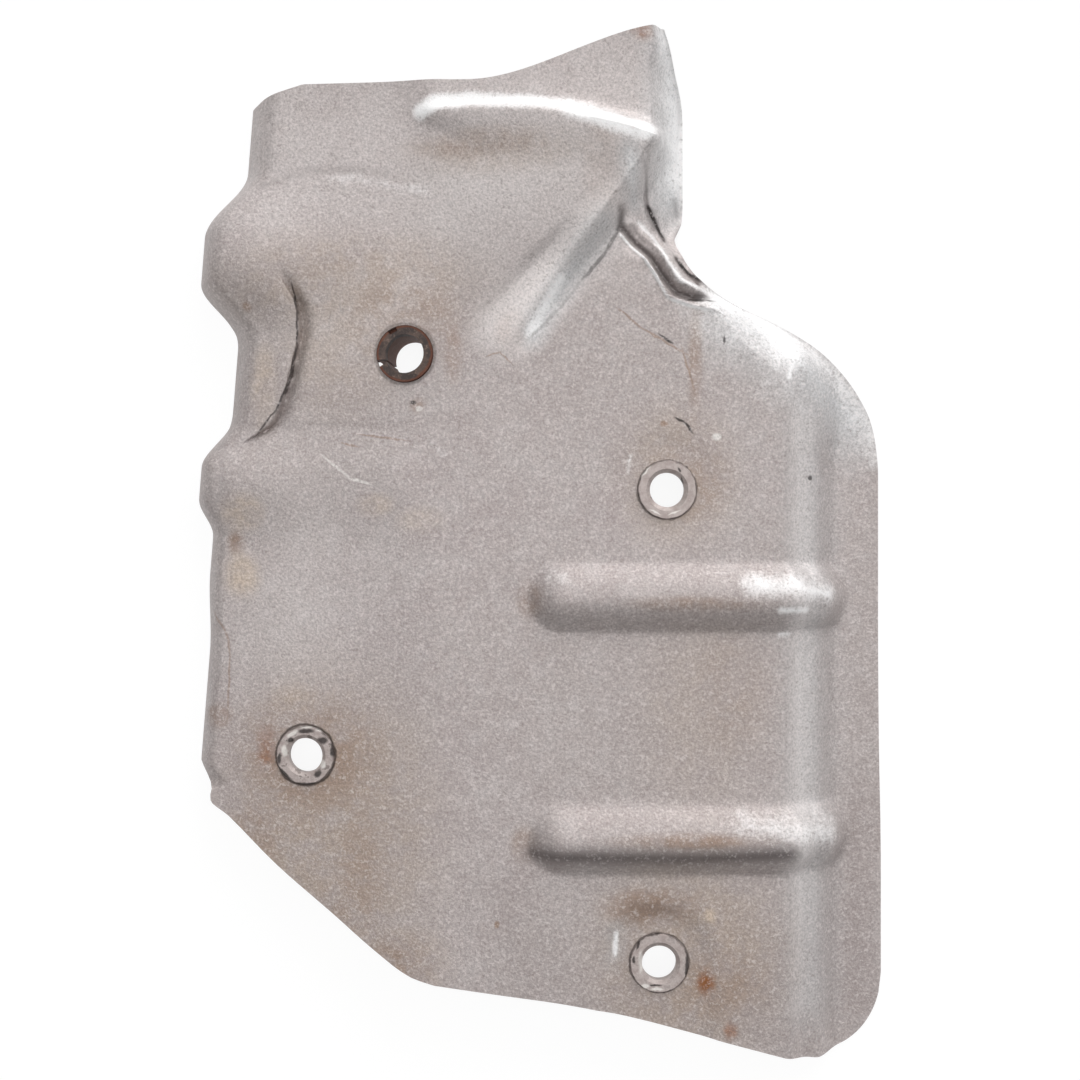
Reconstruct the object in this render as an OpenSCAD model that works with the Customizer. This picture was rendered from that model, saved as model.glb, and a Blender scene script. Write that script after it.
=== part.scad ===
// Exhaust heat shield: a sheet panel pressed in one hit, with three eyelets and a split
// spacer bush in its fixing holes. Millimetres. The outer face looks up (+Z), +X is to the
// right and +Y is up the panel. It lies on its side flange and its turned-down rims, at z = 0.

/* [Sheet] */
// Thickness of the sheet
sheet_t = 1; // [0.8:0.1:1.4]
// Height of the main face above the plane that the rims lie on
face_z = 13; // [12.5:0.5:16]
// How fast the left part of the face falls towards its edge, as a slope
left_fall = 0.08; // [0.04:0.01:0.1]
// Where the left part starts to fall
left_fall_x = -27; // [-32:1:-20]

/* [Outline] */
// Left edge at the top corner
left_top_x = -72.2; // [-74:0.1:-71]
// How far the left edge runs outwards for each millimetre down the panel
left_flare = 0.08; // [0.06:0.001:0.09]
// Height at which the left wall ends and the slanting edge starts
slant_top_y = -61; // [-63:0.5:-60]
// Lower end of the slanting edge, across
slant_end_x = -25.6; // [-30:0.1:-20]
// Lower end of the slanting edge, and the straight part of the bottom row
slant_end_y = -108.4; // [-112:0.1:-105]
// Right edge of the side flange
flange_x = 85.6; // [84:0.1:88]
// How far the bottom edge dips below the slanting edge's end
bottom_dip = 19.4; // [16:0.1:22]
// Where the bottom edge is lowest
bottom_dip_x = 69; // [66:0.2:71]
// Top left corner of the panel
top_y = 108; // [106:0.5:110]
// How far the top edge rises behind its rounded corner
top_round = 3.5; // [2:0.5:5]
// How far the top edge climbs to the tip
tip_rise = 12.2; // [10:0.1:14]
// Right edge of the collar
collar_x = 35.9; // [35:0.1:37]

/* [Side step and walls] */
// Width of the flat side flange
flange_w = 10.5; // [9:0.1:12]
// Width of the slope between the side flange and the face
step_w = 15.5; // [14:0.5:17]
// Width of the rolled left wall at its foot
left_wall_w = 5.5; // [5:0.1:7]
// Width of the rolled left wall at the top corner
left_wall_top_w = 9; // [7:0.5:10]
// Width of the collar's wall
collar_w = 9.5; // [8:0.1:10]

/* [Beads across the step] */
// Height of a bead above the face
bead_h = 4.2; // [3:0.1:5]
// Half width of a bead
bead_r = 8.5; // [7:0.1:9]
// Upper bead, up the panel
bead_upper_y = -14; // [-16:0.5:-12]
// Lower bead, up the panel
bead_lower_y = -72.9; // [-75:0.1:-70]
// Left end of the beads' middle line
bead_start_x = 5.7; // [2:0.1:10]
// How far a bead's nose stands out over the step
bead_nose = 3.2; // [2:0.1:4]

/* [Bulges at the left edge] */
// Middle of the upper bulge
bulge_upper_y = 70; // [69:0.5:71]
// Half width of the upper bulge
bulge_upper_r = 20; // [18:0.5:21]
// Height of the upper bulge
bulge_upper_h = 4.6; // [3:0.1:6]
// How far the upper bulge swells the left edge
bulge_upper_swell = 9.6; // [7:0.1:11]
// Crest of the lower bulge
bulge_lower_y = 15.9; // [15:0.1:17]
// Width of the lower bulge above its crest
bulge_lower_r = 11.5; // [10:0.5:12]
// Width over which the lower bulge fades below its crest
bulge_lower_fade = 18; // [15:0.5:20]
// Height of the lower bulge
bulge_lower_h = 3.2; // [2:0.1:4]
// How far the lower bulge swells the left edge
bulge_lower_swell = 5.8; // [4:0.1:7]
// Right end of the lower bulge's middle line
bulge_lower_end_x = -36; // [-40:0.5:-30]

/* [Folded flap between the bulges] */
// Height of the flap's lip above the face
flap_h = 0.8; // [0.4:0.1:1.2]
// How deep the face dives under the flap's lip
flap_dive = 1.8; // [1:0.1:2]

/* [Plateau, ridge and collar] */
// How steeply the plateau climbs to the right
plateau_slope = 0.205; // [0.15:0.005:0.22]
// Upper end of the diagonal step's foot, across
diagonal_x = 18.5; // [17:0.5:20]
// Upper end of the diagonal step's foot, up
diagonal_y = 75.3; // [74:0.1:77]
// Direction of the diagonal step's foot from the X axis, in degrees
diagonal_angle = 51.4; // [50:0.1:53]
// Width of the diagonal step in plan, at its upper end
diagonal_w = 11.2; // [9:0.1:12]
// How much wider it gets at its lower end
diagonal_spread = 5.4; // [3:0.1:6]
// Height of the ridge's bead
ridge_h = 1.3; // [0.8:0.1:2]
// Ridge line at its left end
ridge_y = 103.6; // [102:0.2:105]
// Depth of the valley between plateau and collar
valley_h = 4; // [2:0.5:5]
// How much the wing rises to the collar's crest
wing_rise = 0.5; // [0:0.1:1]
// Depth of the folds gathered in the inner corner, where 1 is as pressed
fold_depth = 1; // [0.5:0.1:1.2]

/* [Fixing places] */
// Upper right eyelet, across
eyelet_upper_x = 30.9; // [29:0.1:33]
// Upper right eyelet, up
eyelet_upper_y = 12.2; // [11:0.1:14]
// Lower right eyelet, across
eyelet_lower_x = 29; // [27:0.1:31]
// Lower right eyelet, up
eyelet_lower_y = -102.9; // [-104:0.1:-101]
// Lower left eyelet, across
eyelet_left_x = -57.3; // [-59:0.1:-55]
// Lower left eyelet, up
eyelet_left_y = -52.6; // [-54:0.1:-50]
// Bush, across
bush_x = -32.9; // [-34:0.1:-31]
// Bush, up
bush_y = 45.3; // [44:0.1:47]
// Flat radius pressed round each fixing hole
seat_r = 9.6; // [9.4:0.1:10]
// Width of the slope round a pressed seat
seat_blend = 6.5; // [5:0.1:7]
// Depth of the upper right seat below the face
seat_depth_upper = 0.4; // [0.3:0.1:1]
// Depth of the lower right seat below the face
seat_depth_lower = 0.8; // [0.5:0.1:1.2]

/* [Eyelets] */
// Bore for an M8 screw with clearance
eyelet_bore = 8.4; // [8:0.1:9]
// Wall of the eyelet's tube
eyelet_wall = 0.8; // [0.6:0.1:1]
// Diameter of the front flange
eyelet_flange_d = 14.4; // [13.5:0.1:15]
// Diameter of the rim that is rolled over behind the sheet
eyelet_rim_d = 12.2; // [11.5:0.1:13]
// Thickness of flange and rolled rim
eyelet_flange_t = 0.8; // [0.6:0.1:1]

/* [Bush] */
// Outer diameter of the bush
bush_d = 13.8; // [13:0.1:14.2]
// Wall of the bush
bush_wall = 2.15; // [1.8:0.05:2.4]
// Length of the bush
bush_len = 11.4; // [9:0.1:11.5]
// How far the bush stands proud of the outer face
bush_proud = 0.5; // [0.3:0.1:1]
// Lean of the bush to the left, in degrees
bush_lean = 8; // [5:1:9]
// Lean of the bush up the panel, in degrees
bush_lean_up = 3; // [1:1:4]
// How far the shoulder behind the sheet stands out from the bush
bush_shoulder_w = 1.3; // [1:0.1:1.6]
// Thickness of that shoulder
bush_shoulder_t = 1; // [0.8:0.1:1.5]
// Direction of the slit, from the X axis in degrees
slit_angle = 200; // [190:1:210]
// Width of the slit's mouth
slit_w = 3; // [2:0.1:4]
// Direction of the worn notch, from the X axis in degrees
notch_angle = 118; // [110:1:125]

/* [Fit] */
// Clearance of a riveted piece in its hole and under its flange
fit_gap = 0.1; // [0.05:0.01:0.15]

/* [Hidden] */
$fn = 72;

// Sheet colours
sheet_colour = [0.73, 0.69, 0.68];
eyelet_colour = [0.62, 0.6, 0.58];
bush_colour = [0.25, 0.19, 0.16];

// Grid of the panel: columns beside the left edge, across the middle and beside the right edge
left_columns = 7;
middle_columns = 19;
right_columns = 18;
columns = left_columns + middle_columns + right_columns;
left_zone_w = 12;
// How far either side of the flap's edge the columns are drawn in to it
pull_w = 7;
bottom_fan_y = -84;
top_fan_y = 62;

// Right edge up the panel: straight flange, round corner, gathered inner corner, collar, tip
right_marks = [[slant_end_y - bottom_dip, flange_x], [-80, flange_x], [-50, flange_x - 0.5],
               [-20, flange_x - 0.7], [17, flange_x - 0.7], [25, flange_x - 1.5], [30, flange_x - 2.7],
               [35.2, flange_x - 5.2], [40.2, flange_x - 8.5], [45.2, flange_x - 13], [49, 68], [54, 58.8],
               [58, 49.6], [62, 42.2], [66, 37.6], [70, 35], [74.5, 33.4], [77.9, collar_x - 1.2],
               [80.5, collar_x - 0.2], [85, collar_x], [103, collar_x], [107, collar_x - 0.3],
               [111, collar_x - 1.2], [115.5, collar_x - 2.7], [119.7, collar_x - 4], [top_y + 17, 29.5]];
// Height of that edge: flange, lifted inner corner, collar on the bench plane, lifted tip
right_rim_z = [[50, sheet_t], [57, 3.5], [64, 8], [70, 8], [77, 3], [81, 0.2], [104, 0.2],
               [114, 6], [top_y + 17, 15]];

// How far the edge steps in where the left wall ends, and where that leaves it
wall_end_w = 5;
left_end_x = left_top_x - left_flare * (top_y - slant_top_y) + wall_end_w;
// Slanting edge up the panel, bowed a little and rounded into its two ends
slant_marks = [[slant_end_y, slant_end_x], [slant_end_y + 1.8, slant_end_x - 5.6], [-101, -39.2],
               [-91.2, -50.7], [-79.4, -64.7], [-67.6, -76.7], [slant_top_y - 2.7, left_end_x - 0.5],
               [slant_top_y, left_end_x]];
// Share of the bottom edge's dip along its run
dip_marks = [[0, 0], [0.17, 0.12], [0.33, 0.23], [0.5, 0.395], [0.67, 0.61], [0.84, 0.83], [0.93, 0.94],
             [1, 1]];

// The origin is under the middle of the panel's box, so everything is moved up by this
centre_y = (bottom_dip - slant_end_y - top_y - top_round - tip_rise) / 2;

// Edge of the folded flap up the panel, from its foot to where it runs out in the upper bulge
flap_marks = [[23.8, -72.9], [25.8, -69.7], [28.2, -66.1], [31.8, -63.9], [37.4, -62], [43.5, -60.5],
              [48.6, -59.3], [52.2, -58.8], [57.1, -59.3], [60.8, -61.2], [64.4, -63.2]];

// Folds where collar, plateau and shoulder meet: height, half width, and the path across the plan
folds = [[0.5, 0.8, [[19.4, 74.8], [22.1, 71.9], [25, 69.3], [27.9, 65.1], [31.1, 59.3], [42.3, 56.1]]],
         [-1.5, 1.5, [[19.9, 76.1], [23.3, 72.2], [27.2, 68.5], [29.9, 64.4], [33, 60.3], [41.3, 59]]],
         [1.1, 1.7, [[22.6, 77.3], [26.2, 73.9], [29.2, 70.5], [31.1, 67.1], [34, 62.9], [39.4, 61]]],
         [-1.3, 1, [[33.1, 68.6], [35.5, 65.2], [39, 63]]],
         [-0.9, 0.8, [[25.3, 91.6], [25.8, 84.3], [26.3, 80], [28, 76.6], [30.1, 72.3]]],
         [-1.2, 2.4, [[19.6, 79.3], [19.3, 75.9]]],
         [-0.5, 1.2, [[18.7, 75.3], [16.5, 70.5], [10.7, 63.7], [4.9, 56.4]]],
         [0.4, 1.1, [[29.5, 95], [28.5, 87.7], [29.2, 79.2], [31.2, 73.6]]]];

// Fixing places: across, up, depth below the face, slopes of the seat, 1 where the pressed
// seat runs out over the bottom edge
seats = [[eyelet_upper_x, eyelet_upper_y, seat_depth_upper, 0, 0, 0],
         [eyelet_lower_x, eyelet_lower_y, seat_depth_lower, 0, 0, 1],
         [eyelet_left_x, eyelet_left_y, 0, left_fall, 0, 0],
         [bush_x, bush_y, 0, left_fall - 0.002, 0, 0]];
bush_seat = 3;

// Curves

function clamp(v) = min(1, max(0, v));
function ramp(from, to, v) = let (u = clamp((v - from) / (to - from))) u * u * (3 - 2 * u);
function hump(v) = abs(v) >= 1 ? 0 : (1 + cos(180 * v)) / 2;
function dome(v) = max(0, 1 - v * v);
function soft_pos(v, k) = (v + sqrt(v * v + k * k)) / 2;
function to_segment(p, a, b) =
    let (d = b - a, u = clamp((p - a) * d / (d * d))) norm(p - a - u * d);
function mix(a, b, u) = a + (b - a) * u;
function to_path(p, path) = min([for (k = [0 : len(path) - 2]) to_segment(p, path[k], path[k + 1])]);

// More marks on a smooth curve through these, which never swings past its neighbours
function climb_at(marks, k) = let (last = len(marks) - 1,
    before = k == 0 ? [] : marks[k] - marks[k - 1],
    after = k == last ? [] : marks[k + 1] - marks[k],
    a = k == 0 ? after.y / after.x : before.y / before.x,
    b = k == last ? a : after.y / after.x)
    a * b > 0 ? 2 * a * b / (a + b) : 0;
function smooth_marks(marks, between) = concat([for (k = [0 : len(marks) - 2])
    let (w = marks[k + 1].x - marks[k].x, a = climb_at(marks, k) * w, b = climb_at(marks, k + 1) * w)
    for (j = [0 : between - 1]) let (u = j / between)
        [marks[k].x + u * w, marks[k].y * (1 + 2 * u) * pow(1 - u, 2) + a * u * pow(1 - u, 2)
                             + marks[k + 1].y * u * u * (3 - 2 * u) + b * u * u * (u - 1)]],
    [marks[len(marks) - 1]]);
right_edge = smooth_marks(right_marks, 3);
slant_edge = smooth_marks(slant_marks, 4);
dip_share = smooth_marks(dip_marks, 3);
flap_edge = smooth_marks(flap_marks, 6);

// Outline

// The left wall swells at both bulges, is drawn in between them and steps in at its lower end
function swell_upper(y) = ramp(bulge_upper_y + 22, bulge_upper_y + 6, y)
                          * ramp(bulge_upper_y - 19.5, bulge_upper_y - 5.5, y);
function swell_lower(y) = ramp(bulge_lower_y + 13, bulge_lower_y + 2.5, y) * ramp(-28, -8, y)
                          * mix(0.26, 1, ramp(bulge_lower_y - 15, bulge_lower_y - 5.5, y));
function left_x(y) = y < slant_top_y ? lookup(y, slant_edge)
    : left_top_x - left_flare * (top_y - y)
      - bulge_upper_swell * swell_upper(y) - bulge_lower_swell * swell_lower(y)
      + ramp(24, 32, y) * (1 - ramp(48, 54, y)) + wall_end_w * ramp(slant_top_y + 6, slant_top_y, y);
function right_x(y) = lookup(y, right_edge);
function to_right_edge(p) =
    min([for (k = [0 : len(right_edge) - 2])
        to_segment(p, [right_edge[k][1], right_edge[k][0]],
                   [right_edge[k + 1][1], right_edge[k + 1][0]])]);
function top_edge(x) = top_y + top_round * clamp((x + 70) / 12) + tip_rise * ramp(-17.5, 31.5, x);
function bottom_edge(x) =
    let (run = clamp((x - slant_end_x) / (bottom_dip_x - slant_end_x)),
         turn = clamp((x - bottom_dip_x) / (flange_x - bottom_dip_x)))
    slant_end_y - bottom_dip * lookup(run, dip_share) * sqrt(1 - turn * turn);

// Forms pressed into the face

function bulges(p) =
    let (upper = to_segment(p, [-95, bulge_upper_y], [-50, bulge_upper_y]) / bulge_upper_r,
         up = p.y - bulge_lower_y,
         lower = norm([max(0, p.x - bulge_lower_end_x) / 11,
                       up / (up > 0 ? bulge_lower_r : bulge_lower_fade)]))
    bulge_upper_h * (1 - 0.7 * ramp(-76, -44, p.x)) * mix(dome(upper), hump(upper), 0.8)
    + bulge_lower_h * (1 - 0.625 * ramp(-78, -52, p.x)) * mix(dome(lower), hump(lower), 0.85);

function flap(p) =
    let (edge = p.x - lookup(p.y, flap_edge), span = ramp(22, 29, p.y) * (1 - ramp(57, 67, p.y)))
    span * (flap_h * (1 - ramp(-0.35, 0.15, edge)) * ramp(-14, -0.5, edge)
            - flap_dive * ramp(-0.15, 0.3, edge) * (1 - ramp(0.3, 3.2, edge)));

function crest_y(x) = ridge_y - 8.1 * pow(clamp((x + 20) / 46.7), 2.2);

function plateau(p) =
    let (climb = plateau_slope * soft_pos((p.x + 33) * 0.958 + (p.y - 103.3) * 0.285, 5),
         across = (p.x - diagonal_x) * sin(diagonal_angle) - (p.y - diagonal_y) * cos(diagonal_angle),
         along = clamp(((diagonal_x - p.x) * cos(diagonal_angle)
                        + (diagonal_y - p.y) * sin(diagonal_angle)) / 36),
         upper = ramp(-diagonal_w - diagonal_spread * along, 3 - diagonal_w - 2.4 * along, across),
         lower = ramp(-diagonal_w * 0.5, 0.1, across),
         share = 0.06 + 0.42 * ramp(0.05, 0.55, along),
         north = 2.4 + 3.6 * ramp(-25, 12, p.x))
    climb * (1 - upper * share - lower * (1 - share)) * ramp(30, 50, p.y + 0.25 * p.x)
    - (0.2 + 0.14 * (p.x + 30)) * ramp(-30, -20, p.x) * ramp(0, north, p.y - crest_y(p.x));

function ridge(p) =
    let (past = p.y - crest_y(p.x), south_w = 4 + 9 * ramp(-30, -8, p.x))
    ridge_h * hump(norm([past / (past > 0 ? 3.4 : south_w), max(0, -25 - p.x) / 6.5]));

function collar_valley(p) =
    let (edge = diagonal_x - 0.9 + 0.27 * (p.y - 77),
         span = ramp(68, 76, p.y) * (1 - ramp(90, 97, p.y)))
    -valley_h * ramp(0, 5.5, p.x - edge) * span;

function wing(p) = wing_rise * ramp(13, 26, p.x) * ramp(96, 104, p.y);

function beads(p) = pow(dome(min(
    to_segment(p, [bead_start_x, bead_upper_y], [flange_x + 5, bead_upper_y]),
    to_segment(p, [bead_start_x, bead_lower_y], [flange_x + 5, bead_lower_y])) / bead_r), 1.2);

function gathered(p) = p.y < 54 || p.y > 102 || p.x < 2 ? 0
    : let (heights = [for (f = folds) f[0] * hump(to_path(p, f[2]) / f[1])])
      fold_depth * (heights * [for (h = heights) 1]);

function face_height(p) =
    face_z - left_fall * soft_pos(left_fall_x - p.x, 4)
    + plateau(p) + ridge(p) + collar_valley(p) + wing(p) + bulges(p) + flap(p);

function seat_plane(s, p) =
    face_height([s.x, s.y]) - s[2] + (p.x - s.x) * s[3] + (p.y - s.y) * s[4];

function seat_share(s, p) =
    let (up = p.y - s.y)
    1 - ramp(seat_r, seat_r + seat_blend, norm([p.x - s.x, s[5] == 1 ? max(0, up) : up]));

function seated_height(p, k = 0) = k == len(seats) ? face_height(p)
    : let (share = seat_share(seats[k], p), rest = seated_height(p, k + 1))
      share == 0 ? rest : mix(rest, seat_plane(seats[k], p), share);

// The whole outer surface: the face, dropped to the flange and the turned-down rims
function outer_height(p) =
    let (bead = beads(p),
         from_edge = to_right_edge(p),
         top = seated_height(p) + bead_h * bead,
         flat_w = flange_w * (1 - ramp(16, 50, p.y)),
         slope_w = step_w - 5.5 * ramp(20, 50, p.y) - 6 * ramp(46, 60, p.y)
                   + (collar_w - 4) * ramp(68, 78, p.y) - 6.5 * ramp(108, 125, p.y),
         rim = lookup(p.y, right_rim_z),
         u = (from_edge + bead_nose * bead - flat_w) / slope_w,
         two_stage = 0.55 * ramp(0, 0.5, u) + 0.06 * ramp(0.4, 0.7, u) + 0.39 * ramp(0.58, 1, u),
         stepped = mix(rim, top, mix(two_stage, ramp(0, 1, u), ramp(40, 52, p.y)))
                   + gathered(p) * ramp(0, 1.5, from_edge),
         wall_w = lookup(p.y, [[0, left_wall_w], [90, left_wall_top_w]]),
         roll = pow(1 - clamp((p.x - left_x(p.y)) / wall_w), 2.5),
         walled = ramp(slant_top_y, slant_top_y + 5.5, p.y))
    mix(stepped, 0.2, walled * roll);

// Grid of points over the plan

// Rows fan out to the bottom edge, and at the top they follow the ridge and the top edge
function row_y(s, x) =
    s < bottom_fan_y ? mix(bottom_fan_y, bottom_edge(x), (bottom_fan_y - s) / (bottom_fan_y - slant_end_y))
    : s < top_fan_y ? s
    : s < ridge_y ? mix(top_fan_y, crest_y(x), (s - top_fan_y) / (ridge_y - top_fan_y))
    : mix(crest_y(x), top_edge(x), (s - ridge_y) / (top_y - ridge_y));

function column_x(i, from, to, right_zone_w) =
    i <= left_columns ? from + left_zone_w * pow(i / left_columns, 1.5)
    : i >= columns - right_columns ? to - right_zone_w * (columns - i) / right_columns
    : mix(from + left_zone_w, to - right_zone_w, (i - left_columns) / middle_columns);

function band(from, to, n) = [for (k = [0 : n - 1]) mix(from, to, k / n)];

rows = concat(
    band(slant_end_y, bead_lower_y - bead_r - 0.3, 5),
    band(bead_lower_y - bead_r - 0.3, bead_lower_y + bead_r + 0.3, 7),
    band(bead_lower_y + bead_r + 0.3, bead_upper_y - bead_r - 0.3, 6),
    band(bead_upper_y - bead_r - 0.3, bead_upper_y + bead_r + 0.3, 7),
    band(bead_upper_y + bead_r + 0.3, 54, 14),
    band(54, 78, 11),
    band(78, ridge_y, 8),
    band(ridge_y, top_y, 6), [top_y]);

// Columns are drawn in to the flap's edge, so that its lip is crisp
function drawn_in(p) =
    let (edge = lookup(p.y, flap_edge), u = (p.x - edge) / pull_w,
         share = ramp(20, 26, p.y) * (1 - ramp(62, 70, p.y)))
    abs(u) >= 1 ? p.x : edge + pull_w * mix(u, sign(u) * pow(abs(u), 1.7), share);

outer = [for (s = rows)
    let (from = left_x(s),
         to = right_x(row_y(s, 100)),
         right_zone_w = lookup(s, [[18, flange_w + step_w + 2], [60, 16], [75, 15]]))
    [for (i = [0 : columns])
        let (x0 = column_x(i, from, to, right_zone_w), y = row_y(s, x0), x = drawn_in([x0, y]))
        [x, y, outer_height([x, y])]]];

last_row = len(rows) - 1;
function across(j, i) = outer[j][min(i + 1, columns)] - outer[j][max(i - 1, 0)];
function along(j, i) = outer[min(j + 1, last_row)][i] - outer[max(j - 1, 0)][i];
function behind(j, i) =
    let (n = cross(across(j, i), along(j, i)), q = outer[j][i] - sheet_t * n / norm(n))
    [q.x, q.y, max(0, q.z)];

// Panel

module pressed_sheet() {
    wide = columns + 1;
    count = wide * (last_row + 1);
    inner = [for (j = [0 : last_row]) for (i = [0 : columns]) behind(j, i)];
    quads = [for (j = [0 : last_row - 1]) for (i = [0 : columns - 1]) j * wide + i];
    rim = concat([for (i = [0 : columns]) i],
                 [for (j = [1 : last_row]) j * wide + columns],
                 [for (i = [columns - 1 : -1 : 0]) last_row * wide + i],
                 [for (j = [last_row - 1 : -1 : 1]) j * wide]);
    polyhedron(
        points = concat([for (row = outer) each row], inner),
        faces = concat(
            [for (q = quads) each [[q, q + wide + 1, q + 1], [q, q + wide, q + wide + 1]]],
            [for (q = quads) let (b = q + count)
                each [[b, b + 1, b + wide + 1], [b, b + wide + 1, b + wide]]],
            [for (k = [0 : len(rim) - 1]) let (a = rim[k], b = rim[(k + 1) % len(rim)])
                each [[a, b, b + count], [a, b + count, a + count]]]));
}

eyelet_tube_r = eyelet_bore / 2 + eyelet_wall;

// A frame at a seat: z = 0 is the outer face of the sheet there
module at_seat(k) {
    s = seats[k];
    translate([s.x, s.y + centre_y, seat_plane(s, [s.x, s.y])])
        rotate([atan(s[4]), -atan(s[3]), 0])
            children();
}

// The bush leans a little in its hole
module at_bush() {
    s = seats[bush_seat];
    translate([s.x, s.y + centre_y, seat_plane(s, [s.x, s.y])])
        rotate([-bush_lean_up, -bush_lean, 0])
            children();
}

module fixing_hole(r) {
    cylinder(r = r, h = 12 * sheet_t, center = true);
}

module shield_panel() {
    color(sheet_colour)
    difference() {
        translate([0, centre_y, 0]) pressed_sheet();
        for (k = [0 : bush_seat - 1]) at_seat(k) fixing_hole(eyelet_tube_r + fit_gap);
        at_bush() fixing_hole(bush_d / 2 + fit_gap);
    }
}

// Eyelets

module eyelet(k) {
    bore_r = eyelet_bore / 2;
    front = fit_gap + eyelet_flange_t;
    back = -sheet_t - fit_gap;
    color(eyelet_colour)
    at_seat(k)
        rotate_extrude()
            polygon([[bore_r, back - eyelet_flange_t], [eyelet_rim_d / 2, back - eyelet_flange_t],
                     [eyelet_rim_d / 2, back], [eyelet_tube_r, back], [eyelet_tube_r, fit_gap],
                     [eyelet_flange_d / 2, fit_gap], [eyelet_flange_d / 2, front - 0.3],
                     [eyelet_flange_d / 2 - 0.3, front], [bore_r + 0.9, front],
                     [bore_r, front - 0.6]]);
}

module eyelet_right_upper() eyelet(0);
module eyelet_right_lower() eyelet(1);
module eyelet_left_lower() eyelet(2);

// Bush

module split_bush() {
    bore_r = bush_d / 2 - bush_wall;
    shoulder_r = bush_d / 2 + bush_shoulder_w;
    s = seats[bush_seat];
    lean_off = norm([tan(bush_lean) - s[3], tan(bush_lean_up)]);
    shoulder_top = -1.01 * sheet_t - fit_gap - lean_off * shoulder_r;
    color(bush_colour)
    at_bush()
        difference() {
            union() {
                translate([0, 0, bush_proud - bush_len]) cylinder(d = bush_d, h = bush_len);
                translate([0, 0, shoulder_top - bush_shoulder_t])
                    cylinder(r = shoulder_r, h = bush_shoulder_t);
            }
            translate([0, 0, -bush_len]) cylinder(r = bore_r, h = 2 * bush_len);
            rotate([0, 0, slit_angle]) translate([0, 0, -bush_len])
                linear_extrude(2 * bush_len)
                    polygon([[bore_r - 1, -0.1], [shoulder_r + 1, -slit_w / 2],
                             [shoulder_r + 1, slit_w / 2], [bore_r - 1, 0.1]]);
            rotate([0, 0, notch_angle])
                translate([bore_r + bush_wall / 2, -bush_wall / 2, bush_proud - bush_wall])
                    cube([bush_wall, bush_wall, 2 * bush_wall]);
        }
}

shield_panel();
eyelet_right_upper();
eyelet_right_lower();
eyelet_left_lower();
split_bush();
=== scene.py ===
# %% [markdown]
# # A pressed exhaust heat shield
#
# The shield is one sheet of aluminium, a millimetre thick, pressed to shape in one hit. It keeps
# the heat of an exhaust manifold off its neighbours. Three screws hold it through riveted steel
# eyelets, and a fourth goes through a split steel bush. The solids from the CAD model are the
# fixed frame of this scene: they say where everything is, and this file gives it its looks.
# Lengths are worked out in millimetres here, and turned to metres when a mesh is made.

# %% Load the frame
import bpy
import math
import numpy as np
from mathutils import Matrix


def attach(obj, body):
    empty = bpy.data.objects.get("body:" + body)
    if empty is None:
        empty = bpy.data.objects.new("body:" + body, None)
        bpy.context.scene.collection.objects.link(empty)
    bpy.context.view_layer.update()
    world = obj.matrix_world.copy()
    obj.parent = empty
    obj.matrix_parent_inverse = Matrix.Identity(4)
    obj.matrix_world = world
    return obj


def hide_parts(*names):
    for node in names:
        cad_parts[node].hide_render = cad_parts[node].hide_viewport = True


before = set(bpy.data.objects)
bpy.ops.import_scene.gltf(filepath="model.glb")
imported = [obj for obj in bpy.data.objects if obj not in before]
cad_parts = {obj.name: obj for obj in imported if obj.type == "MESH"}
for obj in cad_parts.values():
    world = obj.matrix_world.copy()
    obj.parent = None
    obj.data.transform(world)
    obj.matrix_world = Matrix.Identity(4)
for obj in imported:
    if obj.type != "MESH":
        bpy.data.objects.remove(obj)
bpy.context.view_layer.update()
MM = 0.001
print("nodes:", sorted(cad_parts))

# %% [markdown]
# ## Camera, light and floor
#
# The picture was taken from straight above, from about the length of a forearm. So the camera
# looks down the Z axis, and its lens is worked out from the width that it has to take in at the
# level of the main face. The middle of the picture is a little above the middle of the shield.

# %% Camera
PICTURE_PX = 1080
EYE_HEIGHT = 370.0
FACE_Z = 13.0
SHIFT_Y = 2.05
FACE_MM_PER_PX = 0.243
SENSOR_W = 36


def picture_point(across, down, level=FACE_Z):
    """The place in the part's frame, in mm, that the picture shows at this pixel."""
    scale = FACE_MM_PER_PX * (EYE_HEIGHT - level) / (EYE_HEIGHT - FACE_Z)
    half = PICTURE_PX / 2
    return (across - half) * scale, (half - down) * scale + SHIFT_Y


camera_data = bpy.data.cameras.new("camera")
camera = bpy.data.objects.new("camera", camera_data)
bpy.context.scene.collection.objects.link(camera)
camera.location = (0, SHIFT_Y * MM, EYE_HEIGHT * MM)
camera_data.sensor_width = SENSOR_W
camera_data.lens = SENSOR_W * (EYE_HEIGHT - FACE_Z) / (PICTURE_PX * FACE_MM_PER_PX)
camera_data.clip_start = 0.01
bpy.context.scene.camera = camera
bpy.context.scene.view_settings.view_transform = "Standard"
print("lens, mm:", round(camera_data.lens, 2))

# %% [markdown]
# A pressed sheet is read by its light. Slopes that face the top of the picture are bright and
# those that face its bottom are dark. Two lamps do this, as a photographer would place them: a
# broad one high over the shield, and one low beyond its top edge, which grazes the sheet and
# picks out its ridges. The room is white, brighter beyond the top edge, and the dull metal
# mirrors it.

# %% Lamps and room
ROOM_WAY = (0.3, 0.93, 0.2)
ROOM_DARK, ROOM_BRIGHT, ROOM_SPREAD = 0.18, 1.0, 0.9


def hang_lamp(name, strength, spread, way):
    """A broad lamp that shines from this direction, with its spread in degrees."""
    data = bpy.data.lights.new(name, "SUN")
    data.energy = strength
    data.angle = math.radians(spread)
    lamp = bpy.data.objects.new(name, data)
    tilt = math.atan2(math.hypot(way[0], way[1]), way[2])
    lamp.rotation_euler = (-tilt, 0, -math.atan2(way[0], way[1]))
    bpy.context.scene.collection.objects.link(lamp)
    print(name, strength)


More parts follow.
